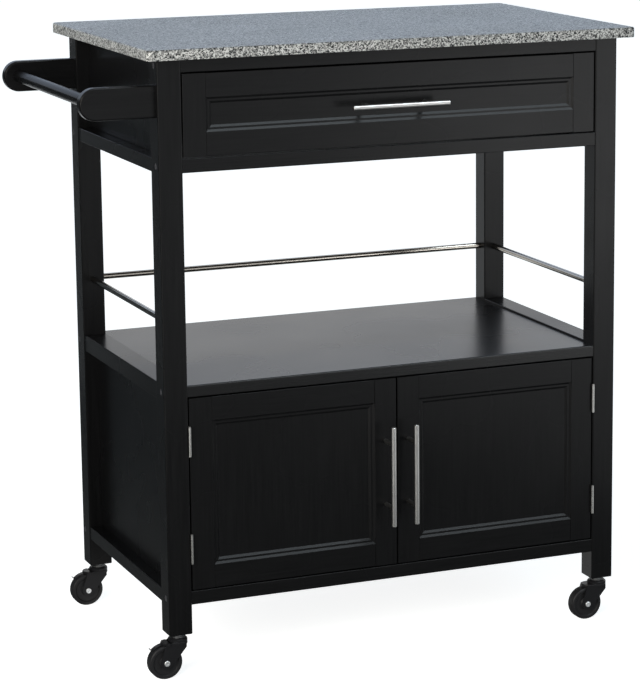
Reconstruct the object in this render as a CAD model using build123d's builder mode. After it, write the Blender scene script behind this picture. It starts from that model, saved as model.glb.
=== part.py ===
from build123d import *
import math
import os

os.makedirs("parts", exist_ok=True)

# Overall frame, in millimetres: +X to the right, +Y to the back, +Z up from the floor
cart_height = 914.0
frame_width = 716.5
frame_depth = 422.0
face_setback = 1.0
board_ease = 1.0

# Stone worktop
top_thickness = 15.0
top_overhang_side = 20.0
top_overhang_front = 22.5
top_corner_radius = 8.0
top_edge_radius = 2.5
top_under_radius = 1.0

# Legs, rails and boards
leg_side = 35.0
leg_edge_radius = 1.6
leg_foot_chamfer = 1.0
rail_height = 20.0
front_rail_depth = 28.0
back_board_thickness = 18.0
side_board_thickness = 15.0
drawer_opening_height = 121.0
shelf_level = 433.5
shelf_thickness = 17.0
shelf_front_radius = 2.5
shelf_rail_drop = 22.0
shelf_rail_lip = 3.0
base_rail_level = 110.0
floor_thickness = 15.0
back_panel_thickness = 6.0

# Bolts through the legs into the rails
bolt_radius = 3.0
bolt_length = 62.0
bolt_head_radius = 4.5
bolt_head_height = 2.6
bolt_head_sink = 0.4
bolt_socket_radius = 2.3
bolt_socket_depth = 1.4
bolt_socket_sides = 6
bolt_clearance = 0.2

# Push handle on the left side
handle_reach = 109.0
bracket_height = 46.0
bracket_thickness = 16.0
bracket_edge_radius = 3.0
bracket_drop = 59.5
handle_bar_diameter = 18.0
handle_bar_insert = 10.0
handle_bar_clearance = 0.1

# Gallery rods above the open shelf
gallery_rise = 89.0
gallery_rod_diameter = 9.5
gallery_rod_insert = 12.0
gallery_rod_clearance = 0.1

# Framed fronts of the doors and the drawer
front_thickness = 18.0
front_member_width = 34.0
front_edge_ease = 0.8
front_joint_ease = 0.7
moulding_step_depth = 2.5
moulding_step_slope = 52.0
moulding_band_width = 2.8
panel_thickness = 6.0
panel_groove_depth = 8.0
door_gap = 2.0
door_meeting_gap = 2.4
drawer_gap = 2.0

# Bar pulls
pull_bar_diameter = 8.0
pull_length = 150.0
pull_spacing = 96.0
pull_post_diameter = 6.5
pull_standoff = 30.0
pull_end_chamfer = 0.6

# Butt hinges
hinge_height = 42.0
hinge_inset = 62.0
hinge_knuckles = 5
hinge_knuckle_radius = 2.1
hinge_knuckle_gap = 0.3
hinge_leaf_thickness = 0.85
hinge_leaf_width = 16.0
hinge_pin_radius = 1.1
hinge_pin_clearance = 0.05
hinge_pin_head_radius = 1.8
hinge_pin_head_height = 1.0

# Magnetic catches and their strike plates
catch_length = 40.0
catch_depth = 13.0
catch_height = 12.0
catch_offset = 34.0
catch_gap = 0.3
strike_thickness = 1.0
strike_length = 28.0
strike_height = 9.0

# Drawer box and its side slides
slide_space = 12.7
slide_height = 36.0
slide_wall = 1.2
slide_channel_depth = 11.0
slide_runner_depth = 9.5
slide_clearance = 0.3
slide_setback = 1.5
drawer_side_thickness = 12.0
drawer_side_headroom = 20.0
drawer_side_lift = 11.0
drawer_back_space = 32.0
drawer_bottom_thickness = 5.0
drawer_bottom_lift = 8.0
drawer_bottom_groove = 6.0

# Casters
wheel_diameter = 50.0
wheel_width = 17.0
wheel_edge_radius = 3.0
wheel_hub_radius = 8.5
wheel_rim_width = 5.5
wheel_dish_depth = 2.0
wheel_dish_slope = 1.5
caster_trail = 20.5
axle_radius = 3.0
axle_clearance = 0.05
axle_head_radius = 4.3
axle_head_height = 1.8
axle_head_dome = 1.0
axle_dimple_radius = 1.5
axle_dimple_depth = 0.8
fork_wall = 2.2
fork_wheel_gap = 1.2
fork_edge_radius = 1.2
fork_crown_thickness = 4.4
fork_tail_past_axle = 5.5
fork_plate_front = 10.0
fork_plate_back = 21.0
fork_plate_drop = 7.0
fork_axle_boss_radius = 9.0
wheel_crown_gap = 0.8
raceway_radius = 14.3
raceway_height = 4.8
raceway_chamfer = 1.8
swivel_clearance = 0.3
stem_radius = 4.0
stem_insert = 34.0
stem_clearance = 0.05
stem_bore_clearance = 0.1
stem_washer_radius = 10.0
stem_washer_height = 1.5
stem_neck_radius = 7.5
stem_neck_height = 4.7
stem_rivet_radius = 6.0
stem_rivet_height = 2.0

# Brake pedals on the two casters under the handle, pressed down on their treads
brake_pivot_back = 16.5
brake_pivot_drop = 3.6
brake_barrel_radius = 3.0
brake_side_gap = 0.4
brake_crown_gap = 1.1
brake_hood_depth = 9.0
brake_hood_round = 9.0
brake_hood_edge_radius = 0.8
brake_strip_width = 8.4
brake_strip_gap = 1.2
brake_strip_thickness = 1.2
brake_strip_start = 98.0
brake_strip_sweep = 39.0
brake_lip_reach = 4.8
brake_lip_sweep = 2.6
brake_pin_radius = 1.4
brake_pin_clearance = 0.05
brake_pin_head_radius = 2.7
brake_pin_head_height = 0.8
brake_pin_head_dome = 0.5

# Places across the cart, with the origin on the floor under the middle of the overall box
front_reach = pull_standoff + pull_bar_diameter / 2 - face_setback
overall_width = handle_reach + frame_width + top_overhang_side
overall_depth = front_reach + frame_depth + top_overhang_front
frame_left = handle_reach - overall_width / 2
frame_right = frame_left + frame_width
frame_front = front_reach - overall_depth / 2
frame_back = frame_front + frame_depth
left_leg_x = (frame_left, frame_left + leg_side)
right_leg_x = (frame_right - leg_side, frame_right)
front_leg_y = (frame_front, frame_front + leg_side)
back_leg_y = (frame_back - leg_side, frame_back)
bay_x = (left_leg_x[1], right_leg_x[0])
bay_y = (front_leg_y[1], back_leg_y[0])
centre_x = (frame_left + frame_right) / 2
left_leg_axis = frame_left + leg_side / 2
right_leg_axis = frame_right - leg_side / 2
front_leg_axis = frame_front + leg_side / 2
back_leg_axis = frame_back - leg_side / 2
front_face = frame_front + face_setback
back_face = frame_back - face_setback
front_rail_y = (front_face, front_face + front_rail_depth)
back_board_y = (back_face - back_board_thickness, back_face)
left_rail_x = (frame_left + face_setback, bay_x[0])
right_rail_x = (bay_x[1], frame_right - face_setback)
left_board_x = (bay_x[0] - side_board_thickness, bay_x[0])
right_board_x = (bay_x[1], bay_x[1] + side_board_thickness)

# Levels above the floor
fork_crown_low = wheel_diameter + wheel_crown_gap
fork_crown_z = (fork_crown_low, fork_crown_low + fork_crown_thickness)
fork_top = fork_crown_z[1] + raceway_height
caster_height = fork_top + swivel_clearance + stem_washer_height + stem_neck_height
top_under = cart_height - top_thickness
top_rail_z = (top_under - rail_height, top_under)
lower_rail_top = top_rail_z[0] - drawer_opening_height
lower_rail_z = (lower_rail_top - rail_height, lower_rail_top)
shelf_z = (shelf_level - shelf_thickness, shelf_level)
shelf_rail_z = (shelf_level - shelf_rail_drop, shelf_level + shelf_rail_lip)
base_rail_z = (base_rail_level, base_rail_level + rail_height)
leg_z = (caster_height, top_under)
bracket_level = top_under - bracket_drop
gallery_level = shelf_level + gallery_rise

# Fronts, their moulding and their hinges
moulding_step_run = moulding_step_depth * math.tan(math.radians(moulding_step_slope))
panel_recess = 2 * moulding_step_depth
member_depth = front_member_width + 2 * moulding_step_run + moulding_band_width
front_y = (front_face, front_face + front_thickness)
panel_y = (front_face + panel_recess, front_face + panel_recess + panel_thickness)
door_z = (base_rail_z[1] + door_gap, shelf_z[0] - door_gap)
left_door_x = (bay_x[0] + door_gap, centre_x - door_meeting_gap / 2)
right_door_x = (centre_x + door_meeting_gap / 2, bay_x[1] - door_gap)
drawer_front_x = (bay_x[0] + drawer_gap, bay_x[1] - drawer_gap)
drawer_front_z = (lower_rail_z[1] + drawer_gap, top_rail_z[0] - drawer_gap)
drawer_front_level = (drawer_front_z[0] + drawer_front_z[1]) / 2
door_level = (door_z[0] + door_z[1]) / 2
left_pull_x = left_door_x[1] - front_member_width / 2
right_pull_x = right_door_x[0] + front_member_width / 2
hinge_levels = (door_z[0] + hinge_inset, door_z[1] - hinge_inset)
hinge_axis_y = frame_front - hinge_knuckle_radius - hinge_knuckle_gap
left_hinge_x = bay_x[0] + door_gap / 2
right_hinge_x = bay_x[1] - door_gap / 2

# Drawer box
drawer_box_y = (front_y[1], back_board_y[0] - drawer_back_space)
drawer_left_side_x = (bay_x[0] + slide_space, bay_x[0] + slide_space + drawer_side_thickness)
drawer_right_side_x = (bay_x[1] - slide_space - drawer_side_thickness, bay_x[1] - slide_space)
drawer_inner_x = (drawer_left_side_x[1], drawer_right_side_x[0])
drawer_inner_y = (drawer_box_y[0] + drawer_side_thickness, drawer_box_y[1] - drawer_side_thickness)
drawer_side_z = (lower_rail_z[1] + drawer_side_lift, top_rail_z[0] - drawer_side_headroom)
drawer_bottom_low = drawer_side_z[0] + drawer_bottom_lift
drawer_bottom_z = (drawer_bottom_low, drawer_bottom_low + drawer_bottom_thickness)
slide_y = (drawer_box_y[0] + slide_setback, drawer_box_y[1] - slide_setback)
slide_level = (drawer_side_z[0] + drawer_side_z[1]) / 2

# Casters, trailing towards the handle
caster_places = {
    "front_left": (left_leg_axis, front_leg_axis),
    "back_left": (left_leg_axis, back_leg_axis),
    "front_right": (right_leg_axis, front_leg_axis),
    "back_right": (right_leg_axis, back_leg_axis),
}
braked_casters = ("front_left", "back_left")
wheel_radius = wheel_diameter / 2
wheel_rim_radius = wheel_radius - wheel_rim_width
fork_tail_back = caster_trail + fork_tail_past_axle
fork_inner_half = wheel_width / 2 + fork_wheel_gap
fork_outer_half = fork_inner_half + fork_wall
brake_pivot_z = fork_crown_z[1] - brake_pivot_drop
brake_strip_inner = wheel_radius + brake_strip_gap
brake_strip_outer = brake_strip_inner + brake_strip_thickness
brake_lip_outer = brake_strip_inner + brake_lip_reach


def keep(piece, label):
    """Label a finished piece and write it to its own file."""
    piece.part.label = label
    export_step(piece.part, f"parts/{label}.step")


def span_box(x, y, z, mode=Mode.ADD):
    """A box between low and high values along each axis."""
    with Locations((x[0], y[0], z[0])):
        Box(x[1] - x[0], y[1] - y[0], z[1] - z[0], align=(Align.MIN, Align.MIN, Align.MIN), mode=mode)


def upright_rod(x, y, low, length, radius, mode=Mode.ADD):
    """A round rod standing on a level."""
    with Locations((x, y, low)):
        Cylinder(radius, length, align=(Align.CENTER, Align.CENTER, Align.MIN), mode=mode)


def board(x, y, z, run, cutter=None):
    """A straight board whose four long edges, along run, are eased."""
    with BuildPart() as piece:
        span_box(x, y, z)
        fillet(piece.edges().filter_by(run), board_ease)
        if cutter is not None:
            add(cutter.part, mode=Mode.SUBTRACT)
    return piece


def side_plane(x, y, z=0):
    """A plane facing the front of the cart, with its own x to the right and its own y up."""
    return Plane(origin=(x, y, z), x_dir=(1, 0, 0), z_dir=(0, -1, 0))


# Bolt places: outer face of the leg, direction into the cart, and the middle of each rail's end
bolt_front_y = (front_rail_y[0] + front_rail_y[1]) / 2
bolt_back_y = (back_board_y[0] + back_board_y[1]) / 2
bolt_levels = [sum(span) / 2 for span in (top_rail_z, lower_rail_z, shelf_z, base_rail_z)]
bolt_planes = []
for leg_face, inward in ((frame_left, 1), (frame_right, -1)):
    for bolt_y in (bolt_front_y, bolt_back_y):
        for bolt_level in bolt_levels:
            bolt_origin = (leg_face, bolt_y, bolt_level)
            bolt_planes.append(Plane(origin=bolt_origin, x_dir=(0, 1, 0), z_dir=(inward, 0, 0)))
bolt_head_depth = bolt_head_sink + bolt_head_height

with BuildPart() as bolt_bores:
    for plane in bolt_planes:
        with BuildSketch(plane):
            Circle(bolt_head_radius + bolt_clearance)
        extrude(amount=bolt_head_depth)
        with BuildSketch(plane):
            Circle(bolt_radius + bolt_clearance)
        extrude(amount=bolt_length + bolt_clearance)

with BuildPart() as frame_bolts:
    for plane in bolt_planes:
        with BuildSketch(plane.offset(bolt_head_sink)):
            Circle(bolt_head_radius)
        extrude(amount=bolt_head_height)
        with BuildSketch(plane.offset(bolt_head_depth)):
            Circle(bolt_radius)
        extrude(amount=bolt_length - bolt_head_depth)
        with BuildSketch(plane.offset(bolt_head_sink)):
            RegularPolygon(bolt_socket_radius, bolt_socket_sides)
        extrude(amount=bolt_socket_depth, mode=Mode.SUBTRACT)
keep(frame_bolts, "frame_bolts")

# Gallery rods: left and right run front to back, the third runs across the back
gallery_rod_radius = gallery_rod_diameter / 2
side_rod_y = (bay_y[0] - gallery_rod_insert, bay_y[1] + gallery_rod_insert)
back_rod_x = (bay_x[0] - gallery_rod_insert, bay_x[1] + gallery_rod_insert)


def gallery(clearance):
    """The three rods, grown by a clearance where they serve to bore the legs."""
    with BuildPart() as rods:
        with BuildSketch(Plane(origin=(0, side_rod_y[0] - clearance, 0), x_dir=(1, 0, 0), z_dir=(0, 1, 0))):
            with Locations((left_leg_axis, -gallery_level), (right_leg_axis, -gallery_level)):
                Circle(gallery_rod_radius + clearance)
        extrude(amount=side_rod_y[1] - side_rod_y[0] + 2 * clearance)
        with BuildSketch(Plane(origin=(back_rod_x[0] - clearance, 0, 0), x_dir=(0, 1, 0), z_dir=(1, 0, 0))):
            with Locations((back_leg_axis, gallery_level)):
                Circle(gallery_rod_radius + clearance)
        extrude(amount=back_rod_x[1] - back_rod_x[0] + 2 * clearance)
    return rods


gallery_rails = gallery(0)
gallery_bores = gallery(gallery_rod_clearance)
keep(gallery_rails, "gallery_rails")

# Caster stems: a shank in the leg, a neck and a washer under it, and a rivet head below the fork
stem_top = caster_height + stem_insert
stem_rivet_top = fork_crown_z[0] - swivel_clearance

with BuildPart() as stem_bores:
    with BuildSketch(Plane.XY.offset(caster_height)):
        with Locations(*caster_places.values()):
            Circle(stem_radius + stem_bore_clearance)
    extrude(amount=stem_insert + stem_bore_clearance)

with BuildPart() as caster_stems:
    with BuildSketch(Plane.XY.offset(stem_rivet_top)):
        with Locations(*caster_places.values()):
            Circle(stem_radius)
    extrude(amount=stem_top - stem_rivet_top)
    with BuildSketch(Plane.XY.offset(caster_height - stem_neck_height)):
        with Locations(*caster_places.values()):
            Circle(stem_neck_radius)
    extrude(amount=stem_neck_height)
    with BuildSketch(Plane.XY.offset(fork_top + swivel_clearance)):
        with Locations(*caster_places.values()):
            Circle(stem_washer_radius)
    extrude(amount=stem_washer_height)
    with BuildSketch(Plane.XY.offset(stem_rivet_top - stem_rivet_height)):
        with Locations(*caster_places.values()):
            Circle(stem_rivet_radius)
    extrude(amount=stem_rivet_height)
keep(caster_stems, "caster_stems")

# Stone worktop
with BuildPart() as granite_top:
    with BuildSketch(Plane.XY.offset(top_under)):
        with Locations((centre_x, (frame_front + frame_back) / 2)):
            RectangleRounded(
                frame_width + 2 * top_overhang_side,
                frame_depth + 2 * top_overhang_front,
                top_corner_radius,
            )
    extrude(amount=top_thickness)
    fillet(granite_top.faces().sort_by(Axis.Z)[-1].edges(), top_edge_radius)
    fillet(granite_top.faces().sort_by(Axis.Z)[0].edges(), top_under_radius)
keep(granite_top, "granite_top")

# Legs
leg_places = {
    "leg_front_left": (left_leg_x, front_leg_y),
    "leg_front_right": (right_leg_x, front_leg_y),
    "leg_back_left": (left_leg_x, back_leg_y),
    "leg_back_right": (right_leg_x, back_leg_y),
}
for name, (leg_x, leg_y) in leg_places.items():
    with BuildPart() as leg:
        span_box(leg_x, leg_y, leg_z)
        fillet(leg.edges().filter_by(Axis.Z), leg_edge_radius)
        chamfer(leg.faces().sort_by(Axis.Z)[0].edges(), leg_foot_chamfer)
        add(bolt_bores.part, mode=Mode.SUBTRACT)
        add(gallery_bores.part, mode=Mode.SUBTRACT)
        add(stem_bores.part, mode=Mode.SUBTRACT)
    keep(leg, name)

# Rails and boards across the front and the back
keep(board(bay_x, front_rail_y, top_rail_z, Axis.X, bolt_bores), "front_top_rail")
keep(board(bay_x, front_rail_y, lower_rail_z, Axis.X, bolt_bores), "front_lower_rail")
keep(board(bay_x, front_rail_y, base_rail_z, Axis.X, bolt_bores), "base_rail_front")
keep(board(bay_x, back_board_y, base_rail_z, Axis.X, bolt_bores), "base_rail_back")
keep(board(bay_x, back_board_y, (lower_rail_z[0], top_under), Axis.X, bolt_bores), "apron_back")


def side_pair(left_x, right_x, z):
    """A board on each side of the cart, between the front and back legs."""
    with BuildPart() as pair:
        span_box(left_x, bay_y, z)
        span_box(right_x, bay_y, z)
        fillet(pair.edges().filter_by(Axis.Y), board_ease)
    return pair


keep(side_pair(left_rail_x, right_rail_x, lower_rail_z), "apron_side_rails")
keep(side_pair(left_rail_x, right_rail_x, shelf_rail_z), "shelf_side_rails")
keep(side_pair(left_rail_x, right_rail_x, base_rail_z), "base_side_rails")
keep(side_pair(left_board_x, right_board_x, (lower_rail_z[1], top_under)), "side_aprons")
keep(side_pair(left_board_x, right_board_x, (base_rail_z[1], shelf_rail_z[0])), "side_panels")

# Open shelf, cabinet floor and cabinet back
with BuildPart() as shelf:
    span_box(bay_x, (front_face, back_face), shelf_z)
    fillet(shelf.edges().filter_by(Axis.X).group_by(Axis.Z)[-1], shelf_front_radius)
    fillet(shelf.edges().filter_by(Axis.X).group_by(Axis.Z)[0], board_ease)
    add(bolt_bores.part, mode=Mode.SUBTRACT)
keep(shelf, "shelf")

cabinet_floor_y = (front_rail_y[1], back_board_y[0])
cabinet_floor_z = (base_rail_z[1] - floor_thickness, base_rail_z[1])
keep(board(bay_x, cabinet_floor_y, cabinet_floor_z, Axis.X), "cabinet_floor")
back_panel_y = (back_board_y[0], back_board_y[0] + back_panel_thickness)
keep(board(bay_x, back_panel_y, (base_rail_z[1], shelf_z[0]), Axis.Z), "back_panel")

# Push handle: two round-ended brackets on the left legs and a bar between them
bracket_round = bracket_height / 2
bracket_straight = handle_reach - bracket_round
handle_bar_x = frame_left - bracket_straight
handle_bar_y = (
    front_leg_axis + bracket_thickness / 2 - handle_bar_insert,
    back_leg_axis - bracket_thickness / 2 + handle_bar_insert,
)


def handle_rod(clearance):
    """The bar, grown by a clearance where it serves to bore the brackets."""
    with BuildPart() as rod:
        with BuildSketch(side_plane(handle_bar_x, handle_bar_y[1] + clearance, bracket_level)):
            Circle(handle_bar_diameter / 2 + clearance)
        extrude(amount=handle_bar_y[1] - handle_bar_y[0] + 2 * clearance)
    return rod


handle_bar = handle_rod(0)
handle_bores = handle_rod(handle_bar_clearance)
keep(handle_bar, "handle_bar")

round_top = (-bracket_straight, bracket_round)
round_bottom = (-bracket_straight, -bracket_round)
eased_from_x = frame_left - bracket_edge_radius
with BuildPart() as handle_brackets:
    for bracket_y in (front_leg_axis, back_leg_axis):
        with BuildSketch(side_plane(frame_left, bracket_y + bracket_thickness / 2, bracket_level)):
            with BuildLine():
                Line((0, -bracket_round), (0, bracket_round))
                Line((0, bracket_round), round_top)
                ThreePointArc(round_top, (-handle_reach, 0), round_bottom)
                Line(round_bottom, (0, -bracket_round))
            make_face()
        extrude(amount=bracket_thickness)
    rims = handle_brackets.faces().filter_by(Axis.Y).edges()
    fillet(rims.filter_by(lambda edge: edge.center().X < eased_from_x), bracket_edge_radius)
    add(handle_bores.part, mode=Mode.SUBTRACT)
keep(handle_brackets, "handle_brackets")


def framed_front(x, z):
    """Stiles, rails coped over them and a recessed panel, with a stepped moulding round the panel."""
    middle = ((x[0] + x[1]) / 2, (z[0] + z[1]) / 2)
    width = x[1] - x[0]
    height = z[1] - z[0]
    outer_inset = 2 * front_member_width
    inner_inset = outer_inset + 2 * (moulding_step_run + moulding_band_width)
    joint_x = (x[0] + front_member_width, x[1] - front_member_width)
    inner_x = (x[0] + member_depth, x[1] - member_depth)
    inner_z = (z[0] + member_depth, z[1] - member_depth)
    with BuildPart() as pocket:
        for inset, depth in ((outer_inset, 0), (inner_inset, moulding_step_depth)):
            step_origin = (middle[0], front_face + depth, middle[1])
            with BuildSketch(Plane(origin=step_origin, x_dir=(1, 0, 0), z_dir=(0, 1, 0))):
                Rectangle(width - inset, height - inset)
            extrude(amount=moulding_step_depth, taper=moulding_step_slope)
    with BuildPart() as panel:
        span_box(
            (inner_x[0] - panel_groove_depth, inner_x[1] + panel_groove_depth),
            panel_y,
            (inner_z[0] - panel_groove_depth, inner_z[1] + panel_groove_depth),
        )
    with BuildPart() as stiles:
        span_box((x[0], inner_x[0]), front_y, z)
        span_box((inner_x[1], x[1]), front_y, z)
        outer_edges = stiles.edges().filter_by(Axis.Z).group_by(Axis.X)
        fillet(outer_edges[0] + outer_edges[-1], front_edge_ease)
        span_box(joint_x, front_y, (z[0], inner_z[0]), Mode.SUBTRACT)
        span_box(joint_x, front_y, (inner_z[1], z[1]), Mode.SUBTRACT)
        add(pocket.part, mode=Mode.SUBTRACT)
        add(panel.part, mode=Mode.SUBTRACT)
    with BuildPart() as rails:
        span_box(joint_x, front_y, (z[0], inner_z[0]))
        span_box(joint_x, front_y, (inner_z[1], z[1]))
        outer_edges = rails.edges().filter_by(Axis.X).group_by(Axis.Z)
        fillet(outer_edges[0] + outer_edges[-1], front_edge_ease)
        chamfer(rails.edges().filter_by(Axis.Z).group_by(Axis.Y)[0], front_joint_ease)
        add(pocket.part, mode=Mode.SUBTRACT)
        add(panel.part, mode=Mode.SUBTRACT)
    return stiles, rails, panel


def bar_pull(x, face_y, z, upright):
    """A round bar on two posts, upright on a door or level on a drawer."""
    bar_y = face_y - pull_standoff
    along = (0, 0, 1) if upright else (1, 0, 0)
    across = (1, 0, 0) if upright else (0, 1, 0)
    shift_x = 0 if upright else pull_length / 2
    shift_z = pull_length / 2 if upright else 0
    with BuildPart() as pull:
        with BuildSketch(Plane(origin=(x - shift_x, bar_y, z - shift_z), x_dir=across, z_dir=along)):
            Circle(pull_bar_diameter / 2)
        extrude(amount=pull_length)
        chamfer(pull.edges().filter_by(GeomType.CIRCLE), pull_end_chamfer)
        post = (0, pull_spacing / 2) if upright else (pull_spacing / 2, 0)
        with BuildSketch(side_plane(x, face_y, z)):
            with Locations(post, (-post[0], -post[1])):
                Circle(pull_post_diameter / 2)
        extrude(amount=pull_standoff)
    return pull


def hinge_leaf(hinge_x, level, plate_x, own_knuckles):
    """A plate with the barrel segments that belong to it, bored for the pin."""
    segment = hinge_height / hinge_knuckles
    low = level - hinge_height / 2
    span_box(plate_x, (frame_front, frame_front + hinge_leaf_width), (low, low + hinge_height))
    for number in range(hinge_knuckles):
        if number % 2 == own_knuckles:
            start = low + number * segment + hinge_knuckle_gap / 2
            length = segment - hinge_knuckle_gap
            span_box(plate_x, (hinge_axis_y, frame_front), (start, start + length))
            upright_rod(hinge_x, hinge_axis_y, start, length, hinge_knuckle_radius)
    bore_radius = hinge_pin_radius + hinge_pin_clearance
    upright_rod(hinge_x, hinge_axis_y, low, hinge_height, bore_radius, Mode.SUBTRACT)


# Frame side of the hinges, and the pins
left_frame_leaf_x = (bay_x[0], bay_x[0] + hinge_leaf_thickness)
right_frame_leaf_x = (bay_x[1] - hinge_leaf_thickness, bay_x[1])
with BuildPart() as hinge_leaves_frame:
    for hinge_x, leaf_x in ((left_hinge_x, left_frame_leaf_x), (right_hinge_x, right_frame_leaf_x)):
        for level in hinge_levels:
            hinge_leaf(hinge_x, level, leaf_x, 0)
keep(hinge_leaves_frame, "hinge_leaves_frame")

with BuildPart() as hinge_pins:
    for hinge_x in (left_hinge_x, right_hinge_x):
        for level in hinge_levels:
            pin_low = level - hinge_height / 2
            upright_rod(hinge_x, hinge_axis_y, pin_low, hinge_height, hinge_pin_radius)
            for head_low in (pin_low - hinge_pin_head_height, pin_low + hinge_height):
                upright_rod(hinge_x, hinge_axis_y, head_low, hinge_pin_head_height, hinge_pin_head_radius)
keep(hinge_pins, "hinge_pins")

# Magnetic catches under the shelf, one behind each door
strike_y = (front_y[1], front_y[1] + strike_thickness)
catch_y = (strike_y[1] + catch_gap, strike_y[1] + catch_gap + catch_depth)
catch_z = (shelf_z[0] - catch_height, shelf_z[0])
strike_top = door_z[1] - front_edge_ease
strike_z = (strike_top - strike_height, strike_top)
with BuildPart() as door_catches:
    for catch_x in (centre_x - catch_offset, centre_x + catch_offset):
        span_box((catch_x - catch_length / 2, catch_x + catch_length / 2), catch_y, catch_z)
    fillet(door_catches.edges().filter_by(Axis.Y), board_ease)
keep(door_catches, "door_catches")

# Doors
doors = {
    "door_left": (left_door_x, left_hinge_x, 1, left_pull_x, centre_x - catch_offset),
    "door_right": (right_door_x, right_hinge_x, -1, right_pull_x, centre_x + catch_offset),
}
for name, (door_x, hinge_x, inward, pull_x, strike_x) in doors.items():
    door_stiles, door_rails, door_panel = framed_front(door_x, door_z)
    keep(door_stiles, f"{name}_stiles")
    keep(door_rails, f"{name}_rails")
    keep(door_panel, f"{name}_panel")
    keep(bar_pull(pull_x, front_face, door_level, True), f"{name}_pull")
    hinge_edge = hinge_x + inward * door_gap / 2
    leaf_x = tuple(sorted((hinge_edge, hinge_edge - inward * hinge_leaf_thickness)))
    with BuildPart() as door_fittings:
        for level in hinge_levels:
            hinge_leaf(hinge_x, level, leaf_x, 1)
        span_box((strike_x - strike_length / 2, strike_x + strike_length / 2), strike_y, strike_z)
    keep(door_fittings, f"{name}_fittings")

# Drawer front and pull
drawer_stiles, drawer_rails, drawer_panel = framed_front(drawer_front_x, drawer_front_z)
keep(drawer_stiles, "drawer_front_stiles")
keep(drawer_rails, "drawer_front_rails")
keep(drawer_panel, "drawer_front_panel")
keep(bar_pull(centre_x, panel_y[0], drawer_front_level, False), "drawer_pull")

# Drawer box: the bottom sits in grooves in the sides and ends
with BuildPart() as drawer_bottom:
    span_box(
        (drawer_inner_x[0] - drawer_bottom_groove, drawer_inner_x[1] + drawer_bottom_groove),
        (drawer_inner_y[0] - drawer_bottom_groove, drawer_inner_y[1] + drawer_bottom_groove),
        drawer_bottom_z,
    )
keep(drawer_bottom, "drawer_bottom")

with BuildPart() as drawer_sides:
    for side_x in (drawer_left_side_x, drawer_right_side_x):
        span_box(side_x, drawer_box_y, drawer_side_z)
    fillet(drawer_sides.edges().filter_by(Axis.Y).group_by(Axis.Z)[-1], board_ease)
    add(drawer_bottom.part, mode=Mode.SUBTRACT)
keep(drawer_sides, "drawer_sides")

with BuildPart() as drawer_ends:
    for end_y in ((drawer_box_y[0], drawer_inner_y[0]), (drawer_inner_y[1], drawer_box_y[1])):
        span_box(drawer_inner_x, end_y, drawer_side_z)
    fillet(drawer_ends.edges().filter_by(Axis.X).group_by(Axis.Z)[-1], board_ease)
    add(drawer_bottom.part, mode=Mode.SUBTRACT)
keep(drawer_ends, "drawer_ends")

# Drawer slides: a channel on each side of the cart and a runner inside it on the drawer
slide_z = (slide_level - slide_height / 2, slide_level + slide_height / 2)
runner_z = (slide_z[0] + slide_wall + slide_clearance, slide_z[1] - slide_wall - slide_clearance)


def slide_member(web_face, inward, depth, z):
    """A channel along the drawer's travel, with its web on web_face and its flanges pointing inward."""
    web_x = tuple(sorted((web_face, web_face + inward * slide_wall)))
    flange_x = tuple(sorted((web_face, web_face + inward * depth)))
    span_box(web_x, slide_y, z)
    span_box(flange_x, slide_y, (z[0], z[0] + slide_wall))
    span_box(flange_x, slide_y, (z[1] - slide_wall, z[1]))


with BuildPart() as drawer_channels:
    slide_member(bay_x[0], 1, slide_channel_depth, slide_z)
    slide_member(bay_x[1], -1, slide_channel_depth, slide_z)
keep(drawer_channels, "drawer_channels")

with BuildPart() as drawer_runners:
    slide_member(drawer_left_side_x[0], -1, slide_runner_depth, runner_z)
    slide_member(drawer_right_side_x[1], 1, slide_runner_depth, runner_z)
keep(drawer_runners, "drawer_runners")


def caster_fork(x, y, braked):
    """Round-tailed crown, bearing cup and two side plates; a braked crown ends before its pedal."""
    crown_end = brake_pivot_back - brake_barrel_radius - brake_crown_gap
    plate_middle = (fork_plate_front - fork_plate_back) / 2
    plate_top = fork_crown_z[1] - fork_edge_radius
    with BuildPart() as fork:
        with BuildSketch(Plane(origin=(x, y, fork_crown_z[0]))):
            Circle(raceway_radius)
            with Locations((fork_outer_half - fork_tail_back, 0)):
                Circle(fork_outer_half)
            make_hull()
        extrude(amount=fork_crown_thickness)
        fillet(fork.faces().sort_by(Axis.Z)[-1].edges(), fork_edge_radius)
        if braked:
            tail_middle = x - (crown_end + fork_tail_back) / 2
            tail_length = fork_tail_back - crown_end
            with Locations((tail_middle, y, sum(fork_crown_z) / 2)):
                Box(tail_length, 2 * raceway_radius, fork_crown_thickness, mode=Mode.SUBTRACT)
        for plate_y in (y + fork_outer_half, y - fork_inner_half):
            with BuildSketch(side_plane(x, plate_y)):
                with Locations((plate_middle, plate_top - fork_plate_drop / 2)):
                    Rectangle(fork_plate_front + fork_plate_back, fork_plate_drop)
                with Locations((-caster_trail, wheel_radius)):
                    Circle(fork_axle_boss_radius)
                make_hull()
            extrude(amount=fork_wall)
        with BuildSketch(Plane(origin=(x, y, fork_crown_z[1]))):
            Circle(raceway_radius)
        extrude(amount=raceway_height)
        chamfer(fork.faces().sort_by(Axis.Z)[-1].edges(), raceway_chamfer)
        with BuildSketch(Plane(origin=(x, y, fork_crown_z[0]))):
            Circle(stem_radius + stem_clearance)
        extrude(amount=fork_crown_thickness + raceway_height, mode=Mode.SUBTRACT)
        with BuildSketch(side_plane(x, y + fork_outer_half)):
            with Locations((-caster_trail, wheel_radius)):
                Circle(axle_radius + axle_clearance)
            if braked:
                with Locations((-brake_pivot_back, brake_pivot_z)):
                    Circle(brake_pin_radius + brake_pin_clearance)
        extrude(amount=2 * fork_outer_half, mode=Mode.SUBTRACT)
    return fork


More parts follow.
